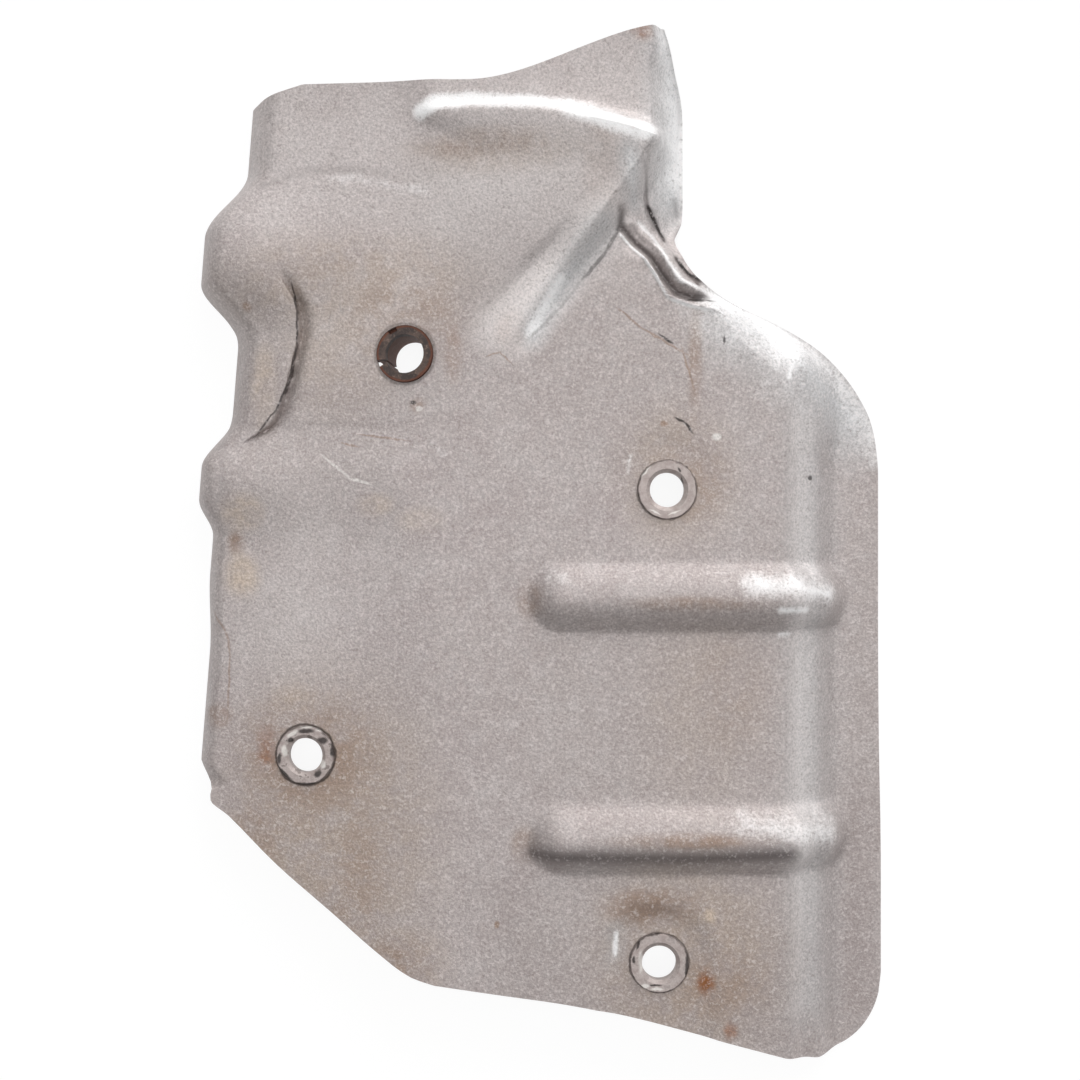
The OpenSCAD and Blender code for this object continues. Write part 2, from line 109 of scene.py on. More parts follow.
hang_lamp("high_lamp", 0.8, 40, (0.0, 0.05, 1.0))
hang_lamp("grazing_lamp", 1.75, 45, (0.36, 0.87, 0.28))

world = bpy.data.worlds.new("white_room")
bpy.context.scene.world = world
world.use_nodes = True
room = world.node_tree
room.nodes.clear()
room_way = room.nodes.new("ShaderNodeTexCoord")
room_side = room.nodes.new("ShaderNodeVectorMath")
room_side.operation = "DOT_PRODUCT"
room_side.inputs[1].default_value = ROOM_WAY
room_level = room.nodes.new("ShaderNodeMapRange")
room_level.inputs["From Min"].default_value = -ROOM_SPREAD
room_level.inputs["From Max"].default_value = ROOM_SPREAD
room_level.inputs["To Min"].default_value = ROOM_DARK
room_level.inputs["To Max"].default_value = ROOM_BRIGHT
room_light = room.nodes.new("ShaderNodeBackground")
room_seen = room.nodes.new("ShaderNodeBackground")
room_seen.inputs["Strength"].default_value = 1.0
room_path = room.nodes.new("ShaderNodeLightPath")
room_mix = room.nodes.new("ShaderNodeMixShader")
room_out = room.nodes.new("ShaderNodeOutputWorld")
room.links.new(room_way.outputs["Generated"], room_side.inputs[0])
room.links.new(room_side.outputs["Value"], room_level.inputs["Value"])
room.links.new(room_level.outputs["Result"], room_light.inputs["Strength"])
room.links.new(room_path.outputs["Is Camera Ray"], room_mix.inputs["Fac"])
room.links.new(room_light.outputs["Background"], room_mix.inputs[1])
room.links.new(room_seen.outputs["Background"], room_mix.inputs[2])
room.links.new(room_mix.outputs["Shader"], room_out.inputs["Surface"])
print("room:", world.name)

# %% [markdown]
# ## Finishes
#
# A finish is a small machine of nodes. Wiring it by hand is slow to read, so one class holds a
# value that flows between nodes, and lets Python's own sums add the Math nodes. Any other node
# comes from one method, which sets the node's settings first and then its sockets.

# %% A value between nodes
class Flow:
    """A value that one node gives to the next, on which plain sums add Math nodes."""

    def __init__(self, finish, socket):
        self.finish = finish
        self.socket = socket

    def sum(self, operation, first, second):
        """Adds the Math node that does this operation."""
        return self.finish.node("ShaderNodeMath", {"operation": operation}, {0: first, 1: second})

    def __add__(self, other):
        return self.sum("ADD", self, other)

    def __radd__(self, other):
        return self.sum("ADD", other, self)

    def __sub__(self, other):
        return self.sum("SUBTRACT", self, other)

    def __rsub__(self, other):
        return self.sum("SUBTRACT", other, self)

    def __mul__(self, other):
        return self.sum("MULTIPLY", self, other)

    def __rmul__(self, other):
        return self.sum("MULTIPLY", other, self)


# %% A finish
class Finish:
    """A material that is being mixed."""

    def __init__(self, name):
        self.material = bpy.data.materials.new(name)
        self.material.use_nodes = True
        self.tree = self.material.node_tree
        self.tree.nodes.clear()
        self.place = self.node("ShaderNodeTexCoord", {}, {}, "Object")

    def node(self, kind, settings, sockets, out=0):
        """Adds a node, gives it its settings and then its sockets, and returns one output."""
        made = self.tree.nodes.new(kind)
        for name, value in settings.items():
            setattr(made, name, value)
        for name, value in sockets.items():
            if isinstance(value, Flow):
                self.tree.links.new(value.socket, made.inputs[name])
            else:
                made.inputs[name].default_value = value
        return Flow(self, made.outputs[out])

    def noise(self, size, detail, rough):
        """Cloudy noise whose blots are about this many mm across, from 0 to 1."""
        return self.node("ShaderNodeTexNoise", {}, {"Vector": self.place, "Scale": 1000 / size,
                                                    "Detail": detail, "Roughness": rough})

    def step(self, value, low, high, to_low=0.0, to_high=1.0):
        """A soft step: to_low below low, to_high above high."""
        sockets = {"Value": value, "From Min": low, "From Max": high,
                   "To Min": to_low, "To Max": to_high}
        return self.node("ShaderNodeMapRange", {"interpolation_type": "SMOOTHSTEP"}, sockets)

    def mix(self, share, first, second, blend="MIX"):
        """Colour first where share is 0 and colour second where it is 1."""
        settings = {"data_type": "RGBA", "blend_type": blend, "clamp_factor": True}
        return self.node("ShaderNodeMix", settings, {0: share, 6: first, 7: second}, 2)

    def highest(self, shares):
        """The greatest of these shares at each place."""
        top = shares[0]
        for share in shares[1:]:
            top = self.node("ShaderNodeMath", {"operation": "MAXIMUM"}, {0: top, 1: share})
        return top

    def layer(self, name):
        """The share that the piece itself keeps at its points under this name."""
        return self.node("ShaderNodeAttribute", {"attribute_name": name}, {}, "Fac")

    def wander(self, size, reach):
        """The place on the piece, pushed about by noise, so that a stain's edge is ragged."""
        push = self.node("ShaderNodeTexNoise", {}, {"Vector": self.place, "Scale": 1000 / size,
                                                    "Detail": 3.0}, "Color")
        away = self.node("ShaderNodeVectorMath", {"operation": "SUBTRACT"},
                         {0: push, 1: (0.5, 0.5, 0.5)})
        scaled = self.node("ShaderNodeVectorMath", {"operation": "SCALE"},
                           {0: away, "Scale": reach * 2 * MM})
        return self.node("ShaderNodeVectorMath", {"operation": "ADD"}, {0: self.place, 1: scaled})

    def spot(self, place, centre, radii, turn, soft):
        """1 inside an oval of these radii in mm, falling to 0 past its edge."""
        mapped = self.node("ShaderNodeMapping", {"vector_type": "TEXTURE"},
                           {"Vector": place, "Location": (centre[0] * MM, centre[1] * MM, 0),
                            "Rotation": (0, 0, math.radians(turn)),
                            "Scale": (radii[0] * MM, radii[1] * MM, 1000.0)})
        far = self.node("ShaderNodeVectorMath", {"operation": "LENGTH"}, {0: mapped}, "Value")
        return self.step(far, 1 + soft, 1 - soft)

    def distance(self, place, middle):
        """How far each place is, in metres, from a middle that is given in mm."""
        return self.node("ShaderNodeVectorMath", {"operation": "DISTANCE"},
                         {0: place, 1: tuple(middle * MM)}, "Value")

    def bump(self, strength, depth, height):
        """A fine relief, this many mm deep."""
        return self.node("ShaderNodeBump", {}, {"Strength": strength, "Distance": depth * MM,
                                                "Height": height}, "Normal")

    def end(self, shader):
        """Joins a shader to the output, which ends the finish."""
        output = self.tree.nodes.new("ShaderNodeOutputMaterial")
        self.tree.links.new(shader.socket, output.inputs["Surface"])
        print("finish", self.material.name, "has", len(self.tree.nodes), "nodes")
        return self.material

    def close(self, **surface):
        """Joins colour, roughness and the rest to a Principled shader, and ends the finish."""
        sockets = {name.replace("_", " "): value for name, value in surface.items()}
        return self.end(self.node("ShaderNodeBsdfPrincipled", {}, sockets))


def tone(red, green, blue):
    """A colour as a paint program writes it, 0 to 255, turned into Blender's linear colour."""
    def linear(level):
        level = level / 255
        return level / 12.92 if level <= 0.04045 else ((level + 0.055) / 1.055) ** 2.4
    return (linear(red), linear(green), linear(blue), 1.0)


# %% [markdown]
# ## Floor
#
# The shield lies on a plain white table. What the camera sees of it is mostly a plain white,
# and a part of it is a real dull surface, so that the shield still throws its soft shadow.

# %% Floor
FLOOR_W, FLOOR_Z = 6, -0.0002
PLAIN_SHARE, PLAIN_GLOW = 0.85, 1.06
bpy.ops.object.select_all(action="DESELECT")
bpy.ops.mesh.primitive_plane_add(size=FLOOR_W, location=(0, 0, FLOOR_Z))
floor = bpy.context.active_object
floor.name = "floor"
paper = Finish("white_table")
dull = paper.node("ShaderNodeBsdfDiffuse", {}, {"Color": (0.8, 0.8, 0.8, 1)})
plain = paper.node("ShaderNodeEmission", {}, {"Color": (1, 1, 1, 1), "Strength": PLAIN_GLOW})
seen = paper.highest([paper.node("ShaderNodeLightPath", {}, {}, ray)
                      for ray in ("Is Camera Ray", "Is Glossy Ray", "Is Transmission Ray")])
paper_shader = paper.node("ShaderNodeMixShader", {}, {0: seen * PLAIN_SHARE, 1: dull, 2: plain})
floor.data.materials.append(paper.end(paper_shader))

# %% [markdown]
# ## The pressed sheet: its curves
#
# A press makes a sheet that is a height over its plan, with no undercut, so the whole form can
# be written as a height for each place. The curves are built up as a toolmaker would: a main
# face, what stands up from it, and last the step and the walls that take it down to the rims.
# All lengths are in mm. The first two numbers of a ramp are the places between which a form
# comes in or fades out, as they were measured on the picture.

# %% Curve helpers
def clamp(v):
    """v, kept between 0 and 1."""
    return np.clip(v, 0, 1)


def ramp(start, end, v):
    """0 at start and 1 at end, with a soft S between them."""
    u = clamp((v - start) / (end - start))
    return u * u * (3 - 2 * u)


def hump(v):
    """1 at 0, falling to 0 at 1 with a soft foot."""
    return (1 + np.cos(np.pi * np.clip(v, -1, 1))) / 2


def dome(v):
    """1 at 0, falling to 0 at 1 with a round crown."""
    return np.maximum(0, 1 - v * v)


def soft_pos(v, k):
    """v where it is positive and 0 where it isn't, with the corner rounded over k."""
    return (v + np.sqrt(v * v + k * k)) / 2


def mix(a, b, u):
    """a where u is 0, and b where it is 1."""
    return a + (b - a) * u


def to_segment(x, y, a, b):
    """The distance to the straight line from a to b."""
    dx, dy = b[0] - a[0], b[1] - a[1]
    u = clamp(((x - a[0]) * dx + (y - a[1]) * dy) / (dx * dx + dy * dy))
    return np.hypot(x - a[0] - u * dx, y - a[1] - u * dy)


def to_path(x, y, path):
    """The distance to a chain of straight lines."""
    return np.min([to_segment(x, y, a, b) for a, b in zip(path[:-1], path[1:])], axis=0)


def smooth_marks(marks, between):
    """More marks on a smooth curve through these, which never swings past its neighbours."""
    t, v = marks[:, 0], marks[:, 1]
    rise = np.diff(v) / np.diff(t)
    both = 2 * rise[1:] * rise[:-1]
    inner = np.where(both > 0, both / (rise[1:] + rise[:-1] + 1e-9), 0)
    slope = np.concatenate([[rise[0]], inner, [rise[-1]]])
    made = []
    for k in range(len(t) - 1):
        w = t[k + 1] - t[k]
        for u in np.arange(between) / between:
            here = v[k] * (1 + 2 * u) * (1 - u) ** 2 + slope[k] * w * u * (1 - u) ** 2
            made.append((t[k] + u * w, here + v[k + 1] * u * u * (3 - 2 * u)
                         + slope[k + 1] * w * u * u * (u - 1)))
    return np.array(made + [tuple(marks[-1])])


def along_marks(marks, v):
    """The value that a table of marks gives at v."""
    return np.interp(v, marks[:, 0], marks[:, 1])


# %% Outline
LEFT_TOP_X, LEFT_FLARE, WALL_END_W = -72.2, 0.08, 5.0
BULGE_UPPER_SWELL, BULGE_LOWER_SWELL = 9.6, 5.8
FLANGE_X = 85.6
SLANT_TOP_Y, SLANT_END_X, SLANT_END_Y = -61.0, -25.6, -108.4
BOTTOM_DIP, BOTTOM_DIP_X = 19.4, 69.0
TOP_Y, TOP_ROUND, TIP_RISE = 108.0, 3.5, 12.2
LEFT_END_X = LEFT_TOP_X - LEFT_FLARE * (TOP_Y - SLANT_TOP_Y) + WALL_END_W
# The right edge and the slant: a height, and how far to the right the edge is there
RIGHT_EDGE = smooth_marks(np.array([
    (-127.8, 85.6), (-80, 85.6), (-50, 85.1), (-20, 84.9), (17, 84.9), (25, 84.1), (30, 82.9),
    (35.2, 80.4), (40.2, 77.1), (45.2, 72.6), (49, 68), (54, 58.8), (58, 49.6), (62, 42.2),
    (66, 37.6), (70, 35), (74.5, 33.4), (77.9, 34.7), (80.5, 35.7), (85, 35.9), (103, 35.9),
    (107, 35.6), (111, 34.7), (115.5, 33.2), (119.7, 31.9), (125, 29.5)]), 3)
SLANT_EDGE = smooth_marks(np.array([
    (-108.4, -25.6), (-106.6, -31.2), (-101, -39.2), (-91.2, -50.7), (-79.4, -64.7),
    (-67.6, -76.7), (-63.7, LEFT_END_X - 0.5), (-61, LEFT_END_X)]), 4)
# The bottom edge: a share of the way to its lowest place, and the share of the dip there
DIP_SHARE = smooth_marks(np.array([
    (0, 0), (0.17, 0.12), (0.33, 0.23), (0.5, 0.395), (0.67, 0.61), (0.84, 0.83), (0.93, 0.94),
    (1, 1)]), 3)
# How high the right rim stands
RIGHT_RIM = np.array([(50, 1), (57, 3.5), (64, 8), (70, 8), (77, 3), (81, 0.2), (104, 0.2),
                      (114, 6), (125, 15)])


def left_x(y):
    """The left edge: a wall that flares and swells round the bulges, and then the slant."""
    upper = ramp(92, 76, y) * ramp(50.5, 64.5, y)
    lower = ramp(28.9, 18.4, y) * ramp(-28, -8, y) * mix(0.26, 1, ramp(0.9, 10.4, y))
    tuck = ramp(24, 32, y) * (1 - ramp(48, 54, y))
    wall = (LEFT_TOP_X - LEFT_FLARE * (TOP_Y - y) - BULGE_UPPER_SWELL * upper
            - BULGE_LOWER_SWELL * lower + tuck
            + WALL_END_W * ramp(SLANT_TOP_Y + 6, SLANT_TOP_Y, y))
    return np.where(y < SLANT_TOP_Y, along_marks(SLANT_EDGE, y), wall)


def top_edge(x):
    """The top edge: rounded at its left end, and rising to the tip at its right."""
    return TOP_Y + TOP_ROUND * clamp((x + 70) / 12) + TIP_RISE * ramp(-17.5, 31.5, x)


def bottom_edge(x):
    """The bottom edge: it dips to the right, and rounds up into the flange."""
    run = clamp((x - SLANT_END_X) / (BOTTOM_DIP_X - SLANT_END_X))
    turn = clamp((x - BOTTOM_DIP_X) / (FLANGE_X - BOTTOM_DIP_X))
    return SLANT_END_Y - BOTTOM_DIP * along_marks(DIP_SHARE, run) * np.sqrt(1 - turn * turn)


print("right edge:", len(RIGHT_EDGE), "marks, slant:", len(SLANT_EDGE), "marks")

# %% [markdown]
# The forms that stand up from the face come next, one function for each. Where a form is rounder
# than a hump and softer at its foot than a dome, the two are mixed.

# %% Bulges and flap
BULGE_UPPER_Y, BULGE_UPPER_R, BULGE_UPPER_H = 70, 20, 4.6
BULGE_LOWER_Y, BULGE_LOWER_R, BULGE_LOWER_H = 15.9, 11.5, 3.2
BULGE_LOWER_FADE, BULGE_LOWER_END_X = 18.0, -36
CREASE_H = 0.2
FLAP_H, FLAP_DIVE = 0.8, 1.8
FLAP_EDGE = smooth_marks(np.array([
    (23.8, -72.9), (25.8, -69.7), (28.2, -66.1), (31.8, -63.9), (37.4, -62.0), (43.5, -60.5),
    (48.6, -59.3), (52.2, -58.8), (57.1, -59.3), (60.8, -61.2), (64.4, -63.2)]), 6)


def bulges(x, y):
    """Two bulges that start at the left edge and flatten to the right, a crease above each."""
    upper = to_segment(x, y, (-95, BULGE_UPPER_Y), (-50, BULGE_UPPER_Y)) / BULGE_UPPER_R
    upper_h = BULGE_UPPER_H - 3.2 * ramp(-76, -44, x)
    across = y - BULGE_LOWER_Y
    across = across / np.where(across > 0, BULGE_LOWER_R, BULGE_LOWER_FADE)
    lower = np.hypot(np.maximum(0, x - BULGE_LOWER_END_X) / 11, across)
    lower_h = BULGE_LOWER_H - 2.0 * ramp(-78, -52, x)
    creases = (CREASE_H * hump((y - 89.6) / 2.2) * ramp(-64, -56, x) * (1 - ramp(-47, -40, x))
               + CREASE_H * hump((y - 27.2) / 1.8) * ramp(-76, -70, x) * (1 - ramp(-36, -28, x)))
    return (upper_h * mix(dome(upper), hump(upper), 0.8)
            + lower_h * mix(dome(lower), hump(lower), 0.85) - creases)


def flap(x, y):
    """The fold between the bulges: a raised lip on its left, and a sharp dive on its right."""
    past = x - along_marks(FLAP_EDGE, y)
    span = ramp(22, 29, y) * (1 - ramp(57, 67, y))
    lip = FLAP_H * (1 - ramp(-0.35, 0.15, past)) * ramp(-14, -0.5, past)
    dive = FLAP_DIVE * ramp(-0.15, 0.3, past) * (1 - ramp(0.3, 3.2, past))
    return span * (lip - dive)


print("flap edge:", len(FLAP_EDGE), "marks")

# %% Plateau and ridge
PLATEAU_SLOPE, PLATEAU_ROUND = 0.205, 5
DIAGONAL_X, DIAGONAL_Y, DIAGONAL_LEN = 18.5, 75.3, 36
DIAGONAL_W, DIAGONAL_SPREAD = 11.2, 5.4
DIAGONAL_WAY = (0.624, 0.782)
RIDGE_Y, RIDGE_DROP, RIDGE_H = 103.6, 8.1, 1.3
VALLEY_H, WING_RISE = 4, 0.5


def crest_y(x):
    """Where the ridge's crest runs: level at first, then down to the right."""
    return RIDGE_Y - RIDGE_DROP * np.power(clamp((x + 20) / 46.7), 2.2)


def plateau(x, y):
    """A field that climbs to the right, up to a double step at its diagonal end."""
    way_x, way_y = DIAGONAL_WAY
    climb = PLATEAU_SLOPE * soft_pos((x + 33) * 0.958 + (y - 103.3) * 0.285, PLATEAU_ROUND)
    across = (x - DIAGONAL_X) * way_y - (y - DIAGONAL_Y) * way_x
    along = clamp(((DIAGONAL_X - x) * way_x + (DIAGONAL_Y - y) * way_y) / DIAGONAL_LEN)
    upper = ramp(-DIAGONAL_W - DIAGONAL_SPREAD * along, -8.2 - 2.4 * along, across)
    lower = ramp(-5.5, 0.1, across)
    share = 0.06 + 0.42 * ramp(0.05, 0.55, along)
    climb = climb * (1 - upper * share - lower * (1 - share)) * ramp(30, 50, y + 0.25 * x)
    north_w = 2.4 + 3.6 * ramp(-25, 12, x)
    past = ramp(0, 1, (y - crest_y(x)) / north_w)
    return climb - (0.2 + 0.14 * (x + 30)) * ramp(-30, -20, x) * past


def ridge(x, y):
    """The ridge along the plateau's top, steep above and wide below."""
    past = y - crest_y(x)
    south_w = 4 + 9 * ramp(-30, -8, x)
    end = np.maximum(0, -25 - x) / 6.5
    return RIDGE_H * hump(np.hypot(np.where(past > 0, past / 3.4, past / south_w), end))


def collar_valley(x, y):
    """The hollow where the plateau falls away to the turned-down collar."""
    edge_x = 19.5 + 0.27 * (y - 77)
    span = ramp(68, 76, y) * (1 - ramp(90, 97, y))
    return -VALLEY_H * ramp(0, 5.5, x - edge_x) * span


def wing(x, y):
    """The slight lift of the upper right tip."""
    return WING_RISE * ramp(13, 26, x) * ramp(96, 104, y)


print("crest at its right end, y:", round(float(crest_y(26.7)), 1))

# %% Beads
BEAD_H, BEAD_R, BEAD_NOSE = 4.2, 8.5, 3.2
BEAD_START_X, BEAD_END_X, BEAD_UPPER_Y, BEAD_LOWER_Y = 5.7, 90, -14, -72.9


def beads(x, y):
    """Two round-ended stiffening beads, which run out over the right step."""
    upper = to_segment(x, y, (BEAD_START_X, BEAD_UPPER_Y), (BEAD_END_X, BEAD_UPPER_Y))
    lower = to_segment(x, y, (BEAD_START_X, BEAD_LOWER_Y), (BEAD_END_X, BEAD_LOWER_Y))
    return np.power(dome(np.minimum(upper, lower) / BEAD_R), 1.2)


print("beads start at x", BEAD_START_X, "and lie at y", BEAD_UPPER_Y, "and", BEAD_LOWER_Y)

# %% Gathered folds
# Folds that the press gathered where collar, plateau and shoulder meet: height, half width, path
FOLDS = (
    (0.5, 0.8, ((19.4, 74.8), (22.1, 71.9), (25.0, 69.3), (27.9, 65.1), (31.1, 59.3),
                (36.5, 57.3), (42.3, 56.1))),
    (-1.5, 1.5, ((19.9, 76.1), (23.3, 72.2), (27.2, 68.5), (29.9, 64.4), (33.0, 60.3),
                 (36.9, 59.0), (41.3, 59.0))),
    (1.1, 1.7, ((22.6, 77.3), (26.2, 73.9), (29.2, 70.5), (31.1, 67.1), (34.0, 62.9),
                (39.4, 61.0))),
    (-1.3, 1.0, ((33.1, 68.6), (35.5, 65.2), (39.0, 63.0))),
    (-0.9, 0.8, ((25.3, 91.6), (25.8, 84.3), (26.3, 80.0), (28.0, 76.6), (30.1, 72.3))),
    (-1.2, 2.4, ((19.6, 79.3), (19.3, 75.9))),
    (-0.5, 1.2, ((18.7, 75.3), (16.5, 70.5), (10.7, 63.7), (4.9, 56.4))),
    (0.4, 1.1, ((29.5, 95.0), (28.5, 87.7), (29.2, 79.2), (31.2, 73.6))),
    (-0.35, 1.0, ((31.9, 98.5), (32.1, 89.9))),
    (-0.35, 1.2, ((30.2, 89.4), (30.2, 81.6))),
)


def folds(x, y):
    """How far the gathered folds lift or sink the sheet."""
    z = np.zeros(np.shape(x))
    for height, half, path in FOLDS:
        z = z + height * hump(to_path(x, y, path) / half)
    return z


print("folds:", len(FOLDS))

# %% Main face
LEFT_FALL, LEFT_FALL_X, LEFT_FALL_ROUND = 0.08, -27, 4


def face_height(x, y):
    """The face, which falls a little to the left, with the forms that stand up from it."""
    return (FACE_Z - LEFT_FALL * soft_pos(LEFT_FALL_X - x, LEFT_FALL_ROUND) + plateau(x, y)
            + ridge(x, y) + collar_valley(x, y) + wing(x, y) + bulges(x, y) + flap(x, y))


print("face at x 0, y 0: z", round(float(face_height(np.array(0.0), np.array(0.0))), 2))

# %% Seats of the fixings
SEAT_R, SEAT_BLEND_W = 9.6, 6.5
# Each seat: its place, how deep it is sunk, its slope, and whether it runs out to the lower edge
SEATS = {
    "right_upper": (30.9, 12.2, 0.4, 0.0, False),
    "right_lower": (29.0, -102.9, 0.8, 0.0, True),
    "left_lower": (-57.3, -52.6, 0.0, 0.08, False),
    "bush": (-32.9, 45.3, 0.0, 0.078, False),
}


def seat_height(name):
    """How high the middle of a seat lies."""
    sx, sy, depth = SEATS[name][:3]
    return float(face_height(np.array(sx), np.array(sy))) - depth


def seated_height(x, y):
    """The face with a flat seat pressed round each fixing."""
    z = face_height(x, y)
    for name in reversed(list(SEATS)):
        sx, sy, _, slope, runs_out = SEATS[name]
        up = y - sy
        reach = np.hypot(x - sx, np.maximum(0, up) if runs_out else up)
        share = 1 - ramp(SEAT_R, SEAT_R + SEAT_BLEND_W, reach)
        z = mix(z, seat_height(name) + (x - sx) * slope, share)
    return z


# %% The whole outer face
FLANGE_W, STEP_W = 10.5, 15.5
LEFT_WALL_W, LEFT_WALL_TOP_W, LEFT_FOOT_Z = 5.5, 9, 0.2
RIGHT_PATH = [(edge_x, edge_y) for edge_y, edge_x in RIGHT_EDGE]


def step_height(y, from_edge, bead, top):
    """The right step, from the rim up to the top: in two stages beside the flange, else in one."""
    flange_w = FLANGE_W * (1 - ramp(16, 50, y))
    step_w = (STEP_W - 5.5 * ramp(20, 50, y) - 6 * ramp(46, 60, y) + 5.5 * ramp(68, 78, y)
              - 6.5 * ramp(108, 125, y))
    u = (from_edge + BEAD_NOSE * bead - flange_w) / step_w
    staged = 0.55 * ramp(0, 0.5, u) + 0.06 * ramp(0.4, 0.7, u) + 0.39 * ramp(0.58, 1, u)
    share = mix(ramp(0, 1, u), staged, 1 - ramp(40, 52, y))
    return mix(along_marks(RIGHT_RIM, y), top, share)


def outer_height(x, y):
    """The height of the sheet's outer face."""
    bead = beads(x, y)
    from_edge = to_path(x, y, RIGHT_PATH)
    stepped = step_height(y, from_edge, bead, seated_height(x, y) + BEAD_H * bead)
    stepped = stepped + folds(x, y) * ramp(0, 1.5, from_edge)
    wall_w = np.interp(y, [0, 90], [LEFT_WALL_W, LEFT_WALL_TOP_W])
    roll = np.power(1 - clamp((x - left_x(y)) / wall_w), 2.5)
    return mix(stepped, LEFT_FOOT_Z, ramp(SLANT_TOP_Y, SLANT_TOP_Y + 5.5, y) * roll)


for name in SEATS:
    print("seat", name, "at z", round(seat_height(name), 2))

# %% [markdown]
# ## The pressed sheet: pressing it
#
# A grid is the blank. Its columns are packed close beside the left wall and across the right
# step, where the form turns fast, and its rows are packed across the beads and the ridge. Each
# of its points is then moved to its place on the form, as the press does in one hit. Solidify
# gives the thickness, behind the outer face, and true cylinders punch the four holes.

# %% Blank
LEFT_COLUMNS, MIDDLE_COLUMNS, RIGHT_COLUMNS = 26, 122, 50
COLUMNS = LEFT_COLUMNS + MIDDLE_COLUMNS + RIGHT_COLUMNS
# Bands of rows: where each starts and ends, and how many rows it has
BANDS = [(SLANT_END_Y, -81.7, 28), (-81.7, -64.1, 24), (-64.1, -22.8, 28), (-22.8, -5.2, 24),
         (-5.2, 54, 62), (54, 78, 34), (78, RIDGE_Y, 34), (RIDGE_Y, TOP_Y, 12)]
bands = [np.linspace(start, end, count, endpoint=False) for start, end, count in BANDS]
row_marks = np.concatenate(bands + [[TOP_Y]])
rows = len(row_marks) - 1

bpy.ops.object.select_all(action="DESELECT")
bpy.ops.mesh.primitive_grid_add(x_subdivisions=COLUMNS, y_subdivisions=rows, size=2)
sheet = bpy.context.active_object
sheet.name = "pressed_sheet"
print("blank:", COLUMNS, "x", rows, "cells")

# %% Rows and columns
LOW_FAN_Y, HIGH_FAN_Y = -84.0, 62.0
LEFT_ZONE_W, PULL_W = 12, 7.0
# How wide the zone of packed columns at the right is: a height, and the width there
RIGHT_ZONE = np.array([(18, 29.8), (60, 16), (75, 15)])
PAST_RIGHT_X = 100.0


def row_y(s, x):
    """Where a row lies at x: level on the face, and fanned out to the crest and the edges."""
    low = mix(LOW_FAN_Y, bottom_edge(x), (LOW_FAN_Y - s) / (LOW_FAN_Y - SLANT_END_Y))
    middle = mix(HIGH_FAN_Y, crest_y(x), (s - HIGH_FAN_Y) / (RIDGE_Y - HIGH_FAN_Y))
    high = mix(crest_y(x), top_edge(x), (s - RIDGE_Y) / (TOP_Y - RIDGE_Y))
    fanned = np.where(s < HIGH_FAN_Y, s, np.where(s < RIDGE_Y, middle, high))
    return np.where(s < LOW_FAN_Y, low, fanned)


def column_x(i, start, end, right_w):
    """Where a column lies between a row's two ends."""
    left = start + LEFT_ZONE_W * np.power(i / LEFT_COLUMNS, 1.5)
    right = end - right_w * (COLUMNS - i) / RIGHT_COLUMNS
    middle = mix(start + LEFT_ZONE_W, end - right_w, (i - LEFT_COLUMNS) / MIDDLE_COLUMNS)
    inner = np.where(i >= COLUMNS - RIGHT_COLUMNS, right, middle)
    return np.where(i <= LEFT_COLUMNS, left, inner)


def drawn_in(x, y):
    """Columns drawn together at the flap's edge, so that its lip is crisp."""
    edge = along_marks(FLAP_EDGE, y)
    aside = clamp(np.abs(x - edge) / PULL_W)
    near = edge + np.sign(x - edge) * PULL_W * np.power(aside, 1.7)
    share = ramp(20, 26, y) * (1 - ramp(62, 70, y)) * (aside < 1)
    return mix(x, near, share)


print("rows fan out below y", LOW_FAN_Y, "and above y", HIGH_FAN_Y)

# %% Press
def points_of(piece):
    """The places of a piece's points, a row each, in metres."""
    flat = np.zeros(len(piece.data.vertices) * 3)
    piece.data.vertices.foreach_get("co", flat)
    return flat.reshape(-1, 3)


def move_points(piece, places):
    """Puts a piece's points at these places."""
    piece.data.vertices.foreach_set("co", places.ravel())
    piece.data.update()


# The blank runs from -1 to 1, so (place + 1) / 2 is a point's share of the way along it
cells = (points_of(sheet) + 1) / 2
column = np.rint(cells[:, 0] * COLUMNS)
mark = row_marks[np.rint(cells[:, 1] * rows).astype(int)]
right_end = along_marks(RIGHT_EDGE, row_y(mark, PAST_RIGHT_X))
x = column_x(column, left_x(mark), right_end, along_marks(RIGHT_ZONE, mark))
y = row_y(mark, x)
x = drawn_in(x, y)
pressed = np.stack([x, y + SHIFT_Y, outer_height(x, y)], axis=1) * MM
move_points(sheet, pressed)
print("pressed to", np.round(pressed.min(0) / MM, 1), np.round(pressed.max(0) / MM, 1))

# %% Thickness
SHEET_T = 1.0
thick = sheet.modifiers.new("thickness", "SOLIDIFY")
thick.thickness = SHEET_T * MM
thick.offset = -1
bpy.ops.object.modifier_apply(modifier=thick.name)
places = points_of(sheet)
places[:, 2] = np.maximum(places[:, 2], 0)
move_points(sheet, places)
print("sheet:", len(sheet.data.vertices), "points")

# %% Places of the fixings
# The bush doesn't sit square on its seat: this is how it is turned about X and Y
OWN_TURNS = {"bush": (-math.radians(3), -math.radians(8))}


def seat_turn(name):
    """How a fixing is turned about X and Y."""
    return OWN_TURNS.get(name, (0.0, -math.atan(SEATS[name][3])))


def seat_middle(name, above=0.0):
    """The point on a fixing's axis, in mm, that is this far above the sheet's outer face."""
    sx, sy = SEATS[name][:2]
    turn_x, turn_y = seat_turn(name)
    axis = np.array([math.sin(turn_y), -math.sin(turn_x) * math.cos(turn_y),
                     math.cos(turn_x) * math.cos(turn_y)])
    return np.array([sx, sy + SHIFT_Y, seat_height(name)]) + above * axis


for name in SEATS:
    print(name, "at", np.round(seat_middle(name), 1))

